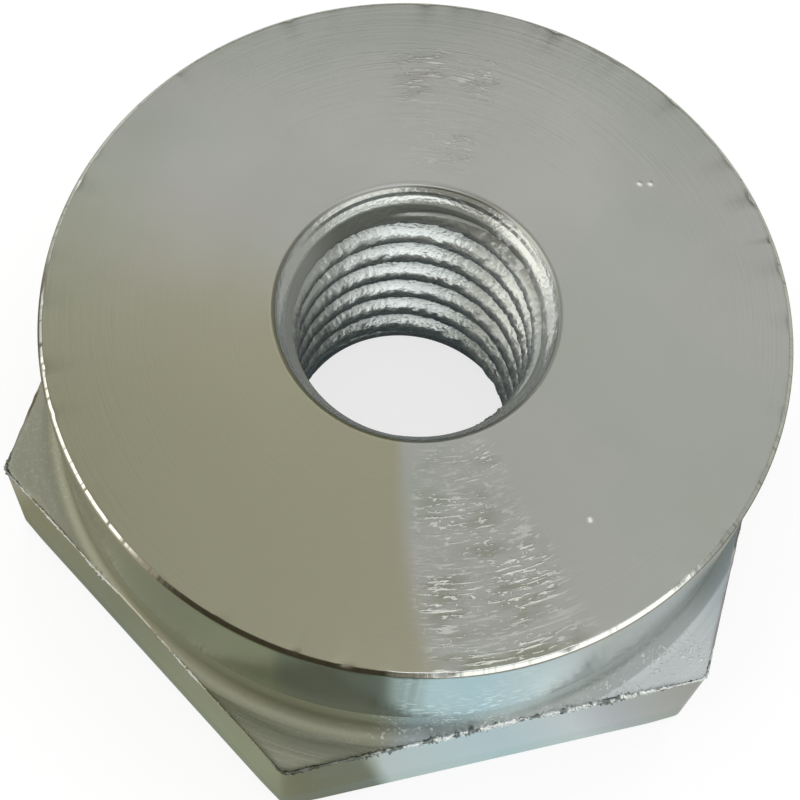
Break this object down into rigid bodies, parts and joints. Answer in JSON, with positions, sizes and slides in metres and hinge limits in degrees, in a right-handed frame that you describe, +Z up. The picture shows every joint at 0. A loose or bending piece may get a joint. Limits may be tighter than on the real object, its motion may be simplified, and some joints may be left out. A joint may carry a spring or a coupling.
{
  "type": "hex weld nut",
  "caption": "Hexagonal nut with a round locating collar and a threaded through bore, welded round its hexagon.",
  "frame": {"origin": "middle of the flat underside of the hexagon, on the thread's axis", "axes": "+Z up along the thread, from the hexagon to the collar; two corners of the hexagon lie on X"},
  "size_m": [0.0368, 0.032, 0.0145],
  "materials": {
    "zinc_plated_steel": "bright zinc-plated turned steel with fine tool marks and small scratches"
  },
  "bodies": {
    "root": {"hex_weld_nut": "zinc_plated_steel"}
  },
  "joints": []
}
